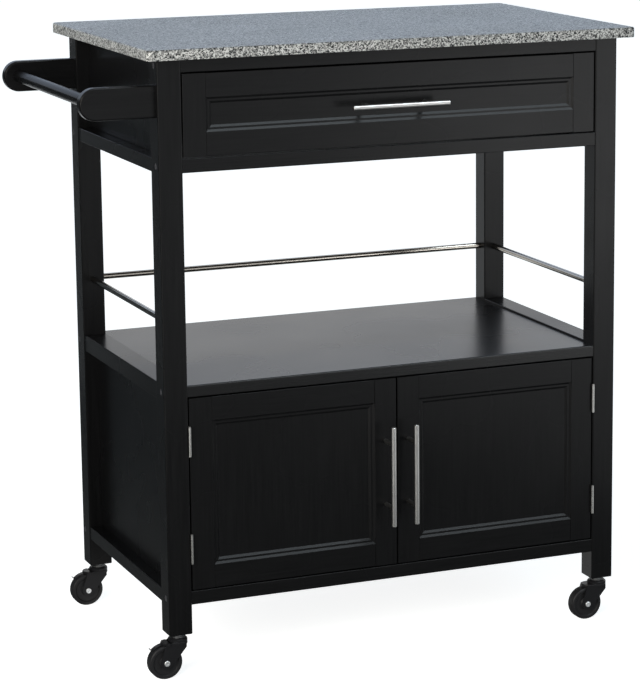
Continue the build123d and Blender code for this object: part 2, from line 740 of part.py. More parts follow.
def caster_wheel(x, y):
    """A wheel with a rounded tread, and a shallow dish between its hub and its rim on both sides."""
    half = wheel_width / 2
    axle_middle = (x - caster_trail, y, wheel_radius)
    with BuildPart() as wheel:
        with BuildSketch(Plane(origin=axle_middle, x_dir=(0, 1, 0), z_dir=(1, 0, 0))):
            with BuildLine() as outline:
                Polyline(
                    (-half, axle_radius + axle_clearance),
                    (-half, wheel_hub_radius),
                    (-half + wheel_dish_depth, wheel_hub_radius + wheel_dish_slope),
                    (-half + wheel_dish_depth, wheel_rim_radius - wheel_dish_slope),
                    (-half, wheel_rim_radius),
                    (-half, wheel_radius),
                    (0, wheel_radius),
                )
                mirror(outline.line, about=Plane.YZ)
                Line((-half, axle_radius + axle_clearance), (half, axle_radius + axle_clearance))
            make_face()
        revolve(axis=Axis(origin=axle_middle, direction=(0, 1, 0)))
        tread = wheel.edges().filter_by(GeomType.CIRCLE).sort_by(SortBy.RADIUS)[-2:]
        fillet(tread, wheel_edge_radius)
    return wheel


def caster_axle(x, y):
    """A rivet through the fork and the wheel, with a dimpled, domed head outside each plate."""
    head_reach = fork_outer_half + axle_head_height
    with BuildPart() as axle:
        with BuildSketch(side_plane(x - caster_trail, y + fork_outer_half, wheel_radius)):
            Circle(axle_radius)
        extrude(amount=2 * fork_outer_half)
        for head_y in (y - fork_outer_half, y + head_reach):
            with BuildSketch(side_plane(x - caster_trail, head_y, wheel_radius)):
                Circle(axle_head_radius)
            extrude(amount=axle_head_height)
        rims = axle.edges().filter_by(GeomType.CIRCLE).sort_by(Axis.Y)
        fillet([rims[0], rims[-1]], axle_head_dome)
        for dimple_y in (y - head_reach + axle_dimple_depth, y + head_reach):
            with BuildSketch(side_plane(x - caster_trail, dimple_y, wheel_radius)):
                Circle(axle_dimple_radius)
            extrude(amount=axle_dimple_depth, mode=Mode.SUBTRACT)
    return axle


def brake_pedal(x, y):
    """A hood on a pin, with a narrow strip that follows the tread and a lip to lift it by."""
    half = fork_inner_half - brake_side_gap
    hood_top = brake_pivot_z + brake_barrel_radius
    hood_length = fork_tail_back - brake_pivot_back
    axle_place = (-caster_trail, wheel_radius)
    pin_place = (-brake_pivot_back, brake_pivot_z)
    lip_start = brake_strip_start + brake_strip_sweep - brake_lip_sweep
    strip = (brake_strip_outer, brake_strip_start, brake_strip_sweep)
    lip = (brake_lip_outer, lip_start, brake_lip_sweep)
    with BuildPart() as pedal:
        with BuildSketch(Plane(origin=(x, y, hood_top))) as hood_plan:
            with Locations((-brake_pivot_back - hood_length / 2, 0)):
                Rectangle(hood_length, 2 * half)
            fillet(hood_plan.vertices().group_by(Axis.X)[0], brake_hood_round)
        extrude(amount=-brake_hood_depth)
        fillet(pedal.faces().sort_by(Axis.Z)[-1].edges().sort_by(Axis.X)[:-1], brake_hood_edge_radius)
        with BuildSketch(side_plane(x, y + half)):
            with Locations(pin_place):
                Circle(brake_barrel_radius)
        extrude(amount=2 * half)
        with BuildSketch(side_plane(x, y + half)):
            with Locations(axle_place):
                Circle(brake_strip_inner)
        extrude(amount=2 * half, mode=Mode.SUBTRACT)
        with BuildSketch(side_plane(x, y + brake_strip_width / 2)):
            for outer, start_angle, sweep in (strip, lip):
                with BuildLine():
                    near = CenterArc(axle_place, brake_strip_inner, start_angle, sweep)
                    far = CenterArc(axle_place, outer, start_angle, sweep)
                    Line(near @ 0, far @ 0)
                    Line(near @ 1, far @ 1)
                make_face()
        extrude(amount=brake_strip_width)
        with BuildSketch(side_plane(x, y + fork_outer_half)):
            with Locations(pin_place):
                Circle(brake_pin_radius)
        extrude(amount=2 * fork_outer_half)
        for head_y in (y - fork_outer_half, y + fork_outer_half + brake_pin_head_height):
            with BuildSketch(side_plane(x, head_y)):
                with Locations(pin_place):
                    Circle(brake_pin_head_radius)
            extrude(amount=brake_pin_head_height)
        rims = pedal.edges().filter_by(GeomType.CIRCLE).sort_by(Axis.Y)
        fillet([rims[0], rims[-1]], brake_pin_head_dome)
    return pedal


for place, (caster_x, caster_y) in caster_places.items():
    braked = place in braked_casters
    keep(caster_fork(caster_x, caster_y, braked), f"caster_fork_{place}")
    keep(caster_wheel(caster_x, caster_y), f"caster_wheel_{place}")
    keep(caster_axle(caster_x, caster_y), f"caster_axle_{place}")
    if braked:
        keep(brake_pedal(caster_x, caster_y), f"brake_pedal_{place}")
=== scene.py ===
"""Kitchen cart: finishes, small hardware, light and camera around its CAD frame."""
import math

import bmesh
import bpy
from bpy.props import FloatProperty, FloatVectorProperty, PointerProperty
from mathutils import Matrix, Vector


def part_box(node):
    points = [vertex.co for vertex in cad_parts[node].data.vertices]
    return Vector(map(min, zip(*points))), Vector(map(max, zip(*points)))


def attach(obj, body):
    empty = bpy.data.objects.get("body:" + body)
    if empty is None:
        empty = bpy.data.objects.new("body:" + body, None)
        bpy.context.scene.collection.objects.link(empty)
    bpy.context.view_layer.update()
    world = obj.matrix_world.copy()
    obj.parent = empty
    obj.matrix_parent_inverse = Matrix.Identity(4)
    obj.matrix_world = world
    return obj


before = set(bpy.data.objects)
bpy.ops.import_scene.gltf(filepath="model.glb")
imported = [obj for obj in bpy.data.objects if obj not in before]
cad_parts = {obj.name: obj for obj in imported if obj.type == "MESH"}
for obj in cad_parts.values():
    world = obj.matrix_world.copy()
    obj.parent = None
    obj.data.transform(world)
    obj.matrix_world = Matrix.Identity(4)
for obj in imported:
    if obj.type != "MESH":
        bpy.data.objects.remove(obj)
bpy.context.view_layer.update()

bl_info = {
    "name": "Kitchen Cart",
    "version": (1, 0, 0),
    "blender": (4, 5, 0),
    "location": "View3D > Sidebar > Cart",
    "description": "Finishes a rolling kitchen cart with a stone top and sets up its studio",
    "category": "Object",
}

PHOTO_WIDTH = 640
PHOTO_HEIGHT = 685

# Screw and pin heads: rings from rim to middle, as shares of the radius and the height
HEAD_SHARES = ((1.0, 0.0), (1.0, 0.35), (0.88, 0.68), (0.62, 0.9), (0.34, 1.0), (0.12, 1.0))
HEAD_SIDES = 24
RECESS_ARMS = 4
RECESS_ARM_SHARE = 0.5
RECESS_MIDDLE_SHARE = 0.2

# Lines in wood and metal: width as a share of length
GRAIN_SHARE = 0.025
SCRATCH_SHARE = 0.02

# Where textures from 0 to 1 turn from their first tone to their second
GRAIN_TONE_SHARES = (0.3, 0.7)
SCRATCH_TONE_SHARES = (0.3, 0.65)
PEBBLE_TONE_SHARES = (0.35, 0.75)

# Stone: start and end of the dark crystals, start and end of the ground ones, start of the pale ones
CRYSTAL_SHARES = (0.0, 0.24, 0.3, 0.55, 0.75)

# Stone: how far the crystals' borders bend, then the fine specks' stops, greys and strength
CRYSTAL_BEND_SHARE = 0.002
SPECK_SHARES = (0.33, 0.45, 0.6)
SPECK_GREYS = (0.12, 0.5, 0.62)
SPECK_STRENGTH = 0.75

# How strongly each relief shows
GRAIN_STRENGTH = 0.4
PEEL_STRENGTH = 0.25
PIT_STRENGTH = 0.3
SCRATCH_STRENGTH = 0.15
PEBBLE_STRENGTH = 0.35

# Tones and gloss of one material, against its own colour and roughness
SCRATCH_DIM_SHARE = 0.82
SCRATCH_ROUGHNESS_SHARES = (0.8, 1.25)
PEBBLE_LIGHT_SHARE = 1.5

# Refraction of the foil, the bolts' paint and the catches
PLASTIC_IOR = 1.4


def colour(name, description, default):
    """A colour that a user may change."""
    return FloatVectorProperty(
        name=name, description=description, subtype="COLOR", size=3, min=0.0, max=1.0, default=default
    )


def share(name, description, default):
    """A share between nothing and all, such as a roughness."""
    return FloatProperty(
        name=name, description=description, subtype="FACTOR", min=0.0, max=1.0, default=default
    )


def amount(name, description, default):
    """A plain amount, such as a brightness or a count per metre."""
    return FloatProperty(name=name, description=description, min=0.0, default=default)


def refraction(name, description, default):
    """An index of refraction."""
    return FloatProperty(name=name, description=description, min=1.0, max=2.0, default=default)


def length(name, description, default):
    """A length in metres."""
    return FloatProperty(
        name=name, description=description, unit="LENGTH", subtype="DISTANCE", default=default
    )


def extent(name, description, default):
    """Two or three lengths in metres."""
    return FloatVectorProperty(
        name=name, description=description, unit="LENGTH", size=len(default), default=default
    )


def place(name, description, default):
    """A point in metres."""
    return FloatVectorProperty(
        name=name, description=description, subtype="TRANSLATION", unit="LENGTH", default=default
    )


def angle(name, description, degrees):
    """An angle, written in degrees."""
    return FloatProperty(
        name=name, description=description, unit="ROTATION", default=math.radians(degrees)
    )


def power(name, description, default):
    """A lamp's power in watts."""
    return FloatProperty(name=name, description=description, unit="POWER", default=default)


class CartLacquer(bpy.types.PropertyGroup):
    """Black lacquer on the wood, and the foil on the hidden boards."""

    dark: colour("Dark", "Lacquer in the pores of the grain", (0.0035, 0.0035, 0.0038))
    light: colour("Light", "Lacquer between the pores", (0.0062, 0.0062, 0.0066))
    roughness: share("Roughness", "Spread of the lacquer's reflections", 0.27)
    roughness_drift: share("Roughness Drift", "Change of the roughness over a board", 0.05)
    drift_count: amount("Drift Count", "Changes of the roughness per metre", 6.0)
    ior: refraction("IOR", "Refraction of the lacquer film", 1.2)
    # Painted sheen: boards that lie flat get a copy of the lacquer that reflects more strongly than the
    # upright boards.
    shelf_sheen_ior: refraction("Shelf IOR", "Refraction of the harder film on boards that lie flat", 1.28)
    # Painted shade: the handle's bar gets a copy of the lacquer that reflects less, keeping its reflections
    # dim.
    handle_dimmed_ior: refraction("Handle IOR", "Refraction of the softer film on the handle's bar", 1.12)
    grain_width: length("Grain Width", "Distance between the wood's grain lines", 0.0022)
    grain_depth: length("Grain Depth", "Depth of the grain that shows through the lacquer", 0.00002)
    peel_count: amount("Peel Count", "Ripples of the sprayed film per metre", 260.0)
    foil: colour("Foil", "Matt foil on the back panel and the drawer bottom", (0.011, 0.011, 0.012))
    foil_roughness: share("Foil Roughness", "Spread of the foil's reflections", 0.5)
    foil_grain: length("Foil Grain", "Size of the foil's pebbles", 0.001)


class CartStone(bpy.types.PropertyGroup):
    """Polished granite of the worktop."""

    ground: colour("Ground", "Grey feldspar between the specks", (0.22, 0.22, 0.216))
    pale: colour("Pale Specks", "Quartz specks", (0.56, 0.56, 0.548))
    dark: colour("Dark Specks", "Mica specks", (0.022, 0.024, 0.025))
    crystal: length("Crystal", "Size of a crystal", 0.0017)
    bends_per_crystal: amount("Bends", "Bends of the borders per crystal", 0.4)
    specks_per_crystal: amount("Specks", "Fine specks per crystal", 2.2)
    pit_depth: length("Pit Depth", "Depth of the pits that the polish leaves", 0.00005)
    roughness: share("Roughness", "Spread of the polish", 0.3)
    roughness_drift: share("Roughness Drift", "Change of the polish over the slab", 0.06)
    drift_count: amount("Drift Count", "Changes of the polish per metre", 9.0)
    ior: refraction("IOR", "Refraction of the polished face", 1.12)


class CartMetals(bpy.types.PropertyGroup):
    """Bare and plated metals."""

    brushed: colour("Brushed Steel", "Bars and posts of the pulls", (0.37, 0.365, 0.355))
    brushed_roughness: share("Brushed Roughness", "Spread of the pulls' reflections", 0.3)
    rod: colour("Polished Steel", "Gallery rods", (0.36, 0.335, 0.3))
    rod_roughness: share("Polished Roughness", "Spread of the rods' reflections", 0.16)
    nickel: colour("Nickel", "Hinges and strike plates", (0.38, 0.375, 0.36))
    nickel_roughness: share("Nickel Roughness", "Spread of the hinges' reflections", 0.3)
    zinc: colour("Zinc", "Axles, slides, screws and pins", (0.4, 0.41, 0.42))
    zinc_roughness: share("Zinc Roughness", "Spread of the zinc's reflections", 0.38)
    # Painted shade: a darker copy of the zinc for the stems, which sit in the shade under the legs.
    stem: colour("Stem", "Dull zinc of the caster stems", (0.2, 0.205, 0.21))
    stem_roughness: share("Stem Roughness", "Spread of the stems' reflections", 0.45)
    bolt: colour("Bolt", "Heads of the frame bolts", (0.05, 0.05, 0.055))
    bolt_roughness: share("Bolt Roughness", "Spread of the bolts' reflections", 0.35)
    bolt_grain: length("Bolt Grain", "Size of the pebbles on the bolts", 0.0006)
    scratch_width: length("Scratch Width", "Distance between brush lines", 0.0005)
    scratch_depth: length("Scratch Depth", "Depth of the brush lines", 0.00003)
    screw_radius: length("Screw Radius", "Radius of a screw's head", 0.004)
    screw_height: length("Screw Height", "Height of a screw's head", 0.0022)
    screw_recess: length("Screw Recess", "Depth of the cross in a screw's head", 0.0011)
    post_spacing: length("Post Spacing", "Distance between a pull's two posts", 0.096)
    box_wall: length("Box Wall", "Thickness of the drawer box's ends", 0.012)
    pin_radius: length("Pin Radius", "Radius of a back panel pin's head", 0.0024)
    pin_height: length("Pin Height", "Height of a back panel pin's head", 0.0008)
    pin_inset: length("Pin Inset", "Distance of the pins from the back panel's edge", 0.007)
    pin_spacing: length("Pin Spacing", "Greatest distance between two pins", 0.12)


class CartCasters(bpy.types.PropertyGroup):
    """Paint and plastic of the casters and catches."""

    paint: colour("Fork Paint", "Paint on forks and pedals", (0.008, 0.008, 0.009))
    paint_roughness: share("Paint Roughness", "Spread of the paint's reflections", 0.35)
    paint_grain: length("Paint Grain", "Size of the paint's pebbles", 0.0008)
    plastic: colour("Wheel Plastic", "Moulded wheels and catches", (0.012, 0.012, 0.013))
    wheel_roughness: share("Wheel Roughness", "Spread of the wheels' reflections", 0.42)
    catch_roughness: share("Catch Roughness", "Spread of the catches' reflections", 0.5)
    texture: length("Moulded Texture", "Size of the moulded surface's grain", 0.0006)
    relief: length("Relief", "Depth of the pebbles in paint, foil and plastic", 0.00005)
    roughness_drift: share("Roughness Drift", "Change of the roughness between pebbles", 0.08)
    ior: refraction("IOR", "Refraction of the casters' paint and plastic", 1.25)


class CartStudio(bpy.types.PropertyGroup):
    """Camera, floor, lamps, and the cards and mat that the cart mirrors, which show only in its reflections
    as painted reflections.
    """

    camera_place: place("Camera Place", "Where the camera stands", (-1.48185, -3.75982, 1.29804))
    camera_turn: angle("Turn", "Turn to the right from the back", 23.3483)
    camera_tilt: angle("Tilt", "Tilt up from level", -11.1572)
    camera_roll: angle("Roll", "Roll about the line of sight", -0.3352)
    focal_pixels: FloatProperty(
        name="Focal Length",
        description="Focal length in pixels of the photograph",
        min=1.0,
        default=2706.35,
    )
    sight_point: FloatVectorProperty(
        name="Sight Point",
        description="Pixel of the photograph that the camera looks straight at, from its left and top",
        size=2,
        default=(401.4, 297.1),
    )
    floor_size: length("Floor", "Side of the floor", 30.0)
    floor_colour: colour("Floor Colour", "Pale floor", (0.8, 0.8, 0.8))
    floor_glow: share("Floor Glow", "Light of the floor itself where it is seen", 0.83)
    ambient: share("Ambient", "Light from all round", 0.33)
    ambient_colour: colour("Ambient Colour", "Cool tint of the light from all round", (0.7, 0.88, 1.0))
    aim: place("Aim", "Point that the two front lamps face", (0.0, 0.0, 0.5))
    key_place: place("Key Place", "Where the large front lamp stands", (-2.5, -2.3, 1.45))
    key_size: extent("Key Size", "Width and height of the front lamp", (2.2, 1.6))
    key_power: power("Key Power", "Power of the front lamp", 105.0)
    key_colour: colour("Key Colour", "Warm tint of the front lamp", (1.0, 0.95, 0.87))
    low_place: place("Low Lamp Place", "Where the low lamp on the front right stands", (1.75, -2.8, 0.4))
    low_size: extent("Low Lamp Size", "Width and height of the low lamp", (1.0, 0.75))
    low_power: power("Low Lamp Power", "Power of the low lamp", 11.0)
    strip_place: place("Strip Place", "Where the overhead lamp hangs", (1.15, -1.45, 3.0))
    strip_size: extent("Strip Size", "Width and height of the overhead lamp", (2.4, 0.8))
    strip_power: power("Strip Power", "Power of the overhead lamp", 80.0)
    strip_colour: colour("Strip Colour", "Cool tint of the overhead lamp", (0.82, 0.93, 1.0))
    # The dark card, its foot and the mat show only in reflections: painted dark reflections on the cart's
    # left and before it.
    dark_reflection_place: place("Card Place", "Near lower corner of the dark card", (-0.52, -0.3, 0.003))
    dark_reflection_size: extent("Card Size", "Length, height and foot of the dark card", (1.95, 0.88, 0.2))
    dark_reflection_colour: colour("Card Colour", "Dark card", (0.27, 0.27, 0.27))
    front_reflection_place: place("Mat Place", "Near left corner of the mat before the cart", (-1.2, -2.3, 0.003))
    front_reflection_size: extent("Mat Size", "Width and depth of the mat", (1.95, 2.22))
    front_reflection_colour: colour("Mat Colour", "Dark mat", (0.38, 0.38, 0.38))
    # The cool card glows but lights nothing: a painted cool reflection, shown only in the cart's
    # reflections.
    cool_reflection_place: place("Sky Place", "Lower left corner of the cool card behind the cart", (-1.2, 1.6, 1.02))
    cool_reflection_size: extent("Sky Size", "Width and height of the cool card", (3.6, 2.0))
    cool_reflection_colour: colour("Sky Colour", "Cool card", (0.7, 0.81, 1.0))
    cool_reflection_glow: amount("Sky Glow", "Brightness of the cool card", 1.24)


def opaque(rgb):
    """A colour with full alpha."""
    return (*rgb, 1.0)


def wire(material, kind, inputs=None, **fields):
    """Add a shader node: fields are its own settings, inputs are values or the sockets that feed it."""
    tree = material.node_tree
    made = tree.nodes.new(kind)
    for field, value in fields.items():
        setattr(made, field, value)
    for socket, value in (inputs or {}).items():
        if isinstance(value, bpy.types.NodeSocket):
            tree.links.new(value, made.inputs[socket])
        else:
            made.inputs[socket].default_value = value
    return made


def empty_material(name):
    """A material without any shader nodes."""
    material = bpy.data.materials.new(name)
    material.use_nodes = True
    material.node_tree.nodes.clear()
    return material


def show(material, kind, inputs):
    """Make a shader and send it to the material's surface."""
    shader = wire(material, kind, inputs)
    wire(material, "ShaderNodeOutputMaterial", {"Surface": shader.outputs[0]})
    return material


def stretched(material, scale):
    """The piece's own coordinates, scaled along each axis."""
    own = wire(material, "ShaderNodeTexCoord").outputs["Object"]
    return wire(material, "ShaderNodeMapping", {"Vector": own, "Scale": scale}).outputs[0]


def line_scale(width, slim_share, run):
    """Scale that turns noise into lines along the axis numbered run, or spots where run is None."""
    scale = [1.0 / width] * 3
    if run is not None:
        scale[run] *= slim_share
    return scale


def noise(material, where, scale=1.0, octaves=2.0):
    """Noise over the given coordinates."""
    return wire(material, "ShaderNodeTexNoise", {"Vector": where, "Scale": scale, "Detail": octaves})


def ramp(material, factor, shares, tones):
    """A colour from a texture, with each tone at its own share of the texture's 0 to 1."""
    made = wire(material, "ShaderNodeValToRGB", {"Fac": factor})
    stops = made.color_ramp.elements
    while len(stops) < len(shares):
        stops.new(1.0)
    for stop, position, tone in zip(stops, shares, tones):
        stop.position = position
        stop.color = opaque(tone)
    return made.outputs["Color"]


def spread(material, value, low, high):
    """Map a texture's 0 to 1 onto low to high."""
    return wire(
        material, "ShaderNodeMapRange", {"Value": value, "To Min": low, "To Max": high}
    ).outputs["Result"]


def drifting(material, value, middle, drift):
    """Map a texture's 0 to 1 onto a middle value, less and more by a drift."""
    return spread(material, value, middle - drift, middle + drift)


def relief(material, height, strength, depth):
    """A surface that rises and falls with a texture."""
    return wire(material, "ShaderNodeBump", {"Height": height, "Strength": strength, "Distance": depth})


def lacquer(name, run, ior):
    """Satin black lacquer whose wood grain runs along the axis numbered run."""
    look = bpy.context.scene.cart_lacquer
    material = empty_material(name)
    where = stretched(material, (1, 1, 1))
    along = stretched(material, line_scale(look.grain_width, GRAIN_SHARE, run))
    grain = noise(material, along, octaves=3.0).outputs["Fac"]
    peel = noise(material, where, look.peel_count, octaves=1.0).outputs["Fac"]
    slow = noise(material, where, look.drift_count).outputs["Fac"]
    rippled = relief(material, peel, PEEL_STRENGTH, look.grain_depth)
    grained = relief(material, grain, GRAIN_STRENGTH, look.grain_depth)
    material.node_tree.links.new(rippled.outputs["Normal"], grained.inputs["Normal"])
    return show(
        material,
        "ShaderNodeBsdfPrincipled",
        {
            "Base Color": ramp(material, grain, GRAIN_TONE_SHARES, (look.dark, look.light)),
            "Roughness": drifting(material, slow, look.roughness, look.roughness_drift),
            "Normal": grained.outputs["Normal"],
            "IOR": ior,
        },
    )


def granite():
    """Grey granite: crystals of three tones, with finer specks in them and slow changes of polish."""
    look = bpy.context.scene.cart_stone
    material = empty_material("granite")
    where = stretched(material, (1, 1, 1))
    bends = noise(material, where, look.bends_per_crystal / look.crystal)
    bent = wire(
        material,
        "ShaderNodeMix",
        {"Factor": CRYSTAL_BEND_SHARE, "A": where, "B": bends.outputs["Color"]},
        data_type="VECTOR",
    )
    crystals = wire(
        material, "ShaderNodeTexVoronoi", {"Vector": bent.outputs["Result"], "Scale": 1.0 / look.crystal}
    )
    kind = wire(material, "ShaderNodeSeparateColor", {"Color": crystals.outputs["Color"]}).outputs["Red"]
    tones = (look.dark, look.dark, look.ground, look.ground, look.pale)
    salt = noise(material, where, look.specks_per_crystal / look.crystal, octaves=3.0).outputs["Fac"]
    greys = [(grey, grey, grey) for grey in SPECK_GREYS]
    speckled = wire(
        material,
        "ShaderNodeMix",
        {
            "Factor": SPECK_STRENGTH,
            "A": ramp(material, kind, CRYSTAL_SHARES, tones),
            "B": ramp(material, salt, SPECK_SHARES, greys),
        },
        data_type="RGBA",
        blend_type="OVERLAY",
    )
    slow = noise(material, where, look.drift_count).outputs["Fac"]
    return show(
        material,
        "ShaderNodeBsdfPrincipled",
        {
            "Base Color": speckled.outputs["Result"],
            "Roughness": drifting(material, slow, look.roughness, look.roughness_drift),
            "Normal": relief(material, salt, PIT_STRENGTH, look.pit_depth).outputs["Normal"],
            "IOR": look.ior,
        },
    )


def metal(name, rgb, roughness, run=None):
    """A metal, brushed along the axis numbered run or finely spotted all over."""
    look = bpy.context.scene.cart_metals
    material = empty_material(name)
    along = stretched(material, line_scale(look.scratch_width, SCRATCH_SHARE, run))
    scratch = noise(material, along).outputs["Fac"]
    dim = tuple(SCRATCH_DIM_SHARE * part for part in rgb)
    low, high = (roughness * part for part in SCRATCH_ROUGHNESS_SHARES)
    return show(
        material,
        "ShaderNodeBsdfPrincipled",
        {
            "Base Color": ramp(material, scratch, SCRATCH_TONE_SHARES, (dim, rgb)),
            "Roughness": spread(material, scratch, low, high),
            "Normal": relief(material, scratch, SCRATCH_STRENGTH, look.scratch_depth).outputs["Normal"],
            "Metallic": 1.0,
        },
    )


def coated(name, rgb, roughness, grain, ior=PLASTIC_IOR):
    """Paint, foil or moulded plastic with a fine pebbled surface."""
    look = bpy.context.scene.cart_casters
    material = empty_material(name)
    pebble = noise(material, stretched(material, (1, 1, 1)), 1.0 / grain).outputs["Fac"]
    lighter = tuple(min(1.0, PEBBLE_LIGHT_SHARE * part) for part in rgb)
    return show(
        material,
        "ShaderNodeBsdfPrincipled",
        {
            "Base Color": ramp(material, pebble, PEBBLE_TONE_SHARES, (rgb, lighter)),
            "Roughness": drifting(material, pebble, roughness, look.roughness_drift),
            "Normal": relief(material, pebble, PEBBLE_STRENGTH, look.relief).outputs["Normal"],
            "IOR": ior,
        },
    )


def finish_nodes(material, *names):
    """Give the named CAD pieces one material."""
    for name in names:
        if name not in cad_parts:
            raise RuntimeError(f"the frame has no piece named {name}")
        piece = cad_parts[name]
        piece.data.materials.clear()
        piece.data.materials.append(material)


def corners_of(name):
    """Lowest and highest corner of a CAD piece's box."""
    return [Vector(corner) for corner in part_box(name)]


def evenly(start, end, spacing):
    """Places from start to end, evenly spread and no further apart than the spacing."""
    steps = math.ceil((end - start) / spacing)
    return [start + (end - start) * step / steps for step in range(steps + 1)]


def driven_head(name, spot, radius, height, recess):
    """A domed head on a face that looks to the back, with a cross sunk into it by the recess."""
    shape = bmesh.new()
    rings = []
    for out_share, up_share in HEAD_SHARES:
        ring = []
        for side in range(HEAD_SIDES):
            turn = math.tau * side / HEAD_SIDES
            out = radius * out_share
            in_arm = out_share < RECESS_ARM_SHARE and side % (HEAD_SIDES // RECESS_ARMS) == 0
            sunk = recess if in_arm or out_share < RECESS_MIDDLE_SHARE else 0.0
            up = height * up_share - sunk
            ring.append(shape.verts.new((out * math.cos(turn), out * math.sin(turn), up)))
        rings.append(ring)
    for outer, inner in zip(rings, rings[1:]):
        for side in range(HEAD_SIDES):
            after = (side + 1) % HEAD_SIDES
            shape.faces.new((outer[side], outer[after], inner[after], inner[side]))
    shape.faces.new(rings[-1])
    for face in shape.faces:
        face.smooth = True
    mesh = bpy.data.meshes.new(name)
    shape.to_mesh(mesh)
    shape.free()
    piece = bpy.data.objects.new(name, mesh)
    bpy.context.scene.collection.objects.link(piece)
    facing_back = Vector((0, 1, 0)).to_track_quat("Z", "Y").to_matrix().to_4x4()
    piece.matrix_world = Matrix.Translation(spot) @ facing_back
    return piece


def fit_hardware(piece, body):
    """Zinc finish on a screw or pin, and the body that it moves with."""
    piece.data.materials.append(bpy.data.materials["zinc_steel"])
    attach(piece, body)


class CART_OT_worktop(bpy.types.Operator):
    """Finish the stone worktop"""

    bl_idname = "cart.worktop"
    bl_label = "Worktop"

    def execute(self, context):
        finish_nodes(granite(), "granite_top")
        return {"FINISHED"}


class CART_OT_wood_frame(bpy.types.Operator):
    """Finish the legs, rails, boards and shelf, with their bolts, stems and pins"""

    bl_idname = "cart.wood_frame"
    bl_label = "Wood Frame"

    def execute(self, context):
        metals = context.scene.cart_metals
        look = context.scene.cart_lacquer
        along_x = lacquer("black_lacquer_x", 0, look.ior)
        along_y = lacquer("black_lacquer_y", 1, look.ior)
        along_z = lacquer("black_lacquer_z", 2, look.ior)
        finish_nodes(
            along_x, "front_top_rail", "front_lower_rail", "base_rail_front", "base_rail_back", "apron_back"
        )
        # Painted sheen on the shelf and cabinet floor: the same lacquer with a higher IOR, so they reflect
        # more.
        finish_nodes(lacquer("shelf_sheen_lacquer", 0, look.shelf_sheen_ior), "shelf", "cabinet_floor")
        finish_nodes(along_y, "apron_side_rails", "shelf_side_rails", "base_side_rails", "side_aprons")
        finish_nodes(
            along_z, "side_panels", "leg_front_left", "leg_front_right", "leg_back_left", "leg_back_right"
        )
        finish_nodes(coated("black_foil", look.foil, look.foil_roughness, look.foil_grain), "back_panel")
        finish_nodes(
            coated("bolt_black", metals.bolt, metals.bolt_roughness, metals.bolt_grain), "frame_bolts"
        )
        metal("zinc_steel", metals.zinc, metals.zinc_roughness)
        # Painted shade on the caster stems: zinc darkened for their place under the legs.
        finish_nodes(metal("shaded_zinc", metals.stem, metals.stem_roughness), "caster_stems")
        self.pin_back_panel(metals)
        return {"FINISHED"}

    def pin_back_panel(self, metals):
        """A row of pins along each edge of the back panel, on its outer face."""
        low, high = corners_of("back_panel")
        inset = Vector((metals.pin_inset, 0.0, metals.pin_inset))
        low, high = low + inset, high - inset
        across = evenly(low.x, high.x, metals.pin_spacing)
        upward = evenly(low.z, high.z, metals.pin_spacing)
        spots = [(x, z) for x in across for z in (low.z, high.z)]
        spots += [(x, z) for x in (low.x, high.x) for z in upward[1:-1]]
        for count, (x, z) in enumerate(spots, 1):
            head = driven_head(
                f"back_panel_pin_{count}", (x, high.y, z), metals.pin_radius, metals.pin_height, 0.0
            )
            fit_hardware(head, "carcass")


class CART_OT_push_handle(bpy.types.Operator):
    """Finish the push handle"""

    bl_idname = "cart.push_handle"
    bl_label = "Push Handle"

    def execute(self, context):
        look = context.scene.cart_lacquer
        finish_nodes(bpy.data.materials["black_lacquer_x"], "handle_brackets")
        # Painted shade on the handle's bar: the same lacquer with a lower IOR, so it reflects less.
        finish_nodes(lacquer("handle_dimmed_lacquer", 1, look.handle_dimmed_ior), "handle_bar")
        return {"FINISHED"}


class CART_OT_gallery(bpy.types.Operator):
    """Finish the gallery rods"""

    bl_idname = "cart.gallery"
    bl_label = "Gallery Rods"

    def execute(self, context):
        look = context.scene.cart_metals
        finish_nodes(metal("polished_steel", look.rod, look.rod_roughness), "gallery_rails")
        return {"FINISHED"}


class CART_OT_fronts(bpy.types.Operator):
    """Finish the framed fronts, their pulls and the hinges"""

    bl_idname = "cart.fronts"
    bl_label = "Doors and Drawer Front"

    def execute(self, context):
        look = context.scene.cart_metals
        along_x = bpy.data.materials["black_lacquer_x"]
        along_z = bpy.data.materials["black_lacquer_z"]
        for front in ("drawer_front", "door_left", "door_right"):
            finish_nodes(along_x, f"{front}_rails")
            finish_nodes(along_z, f"{front}_stiles")
        finish_nodes(along_x, "drawer_front_panel")
        finish_nodes(along_z, "door_left_panel", "door_right_panel")
        finish_nodes(metal("brushed_steel_x", look.brushed, look.brushed_roughness, 0), "drawer_pull")
        finish_nodes(
            metal("brushed_steel_z", look.brushed, look.brushed_roughness, 2),
            "door_left_pull",
            "door_right_pull",
        )
        finish_nodes(
            metal("nickel", look.nickel, look.nickel_roughness),
            "hinge_leaves_frame",
            "hinge_pins",
            "door_left_fittings",
            "door_right_fittings",
        )
        self.screw_pulls(look)
        return {"FINISHED"}

    def screw_pulls(self, look):
        """Two screws behind each pull, in line with its posts, on the inside of its door or drawer."""
        inner_faces = {
            "door_left": corners_of("door_left_stiles")[1].y,
            "door_right": corners_of("door_right_stiles")[1].y,
            "drawer": corners_of("drawer_ends")[0].y + look.box_wall,
        }
        for front, inner_face in inner_faces.items():
            low, high = corners_of(f"{front}_pull")
            long_way = Vector((1, 0, 0)) if front == "drawer" else Vector((0, 0, 1))
            for count, side in enumerate((-1, 1), 1):
                spot = (low + high) / 2 + long_way * side * look.post_spacing / 2
                spot.y = inner_face
                head = driven_head(
                    f"{front}_pull_screw_{count}",
                    spot,
                    look.screw_radius,
                    look.screw_height,
                    look.screw_recess,
                )
                fit_hardware(head, front)


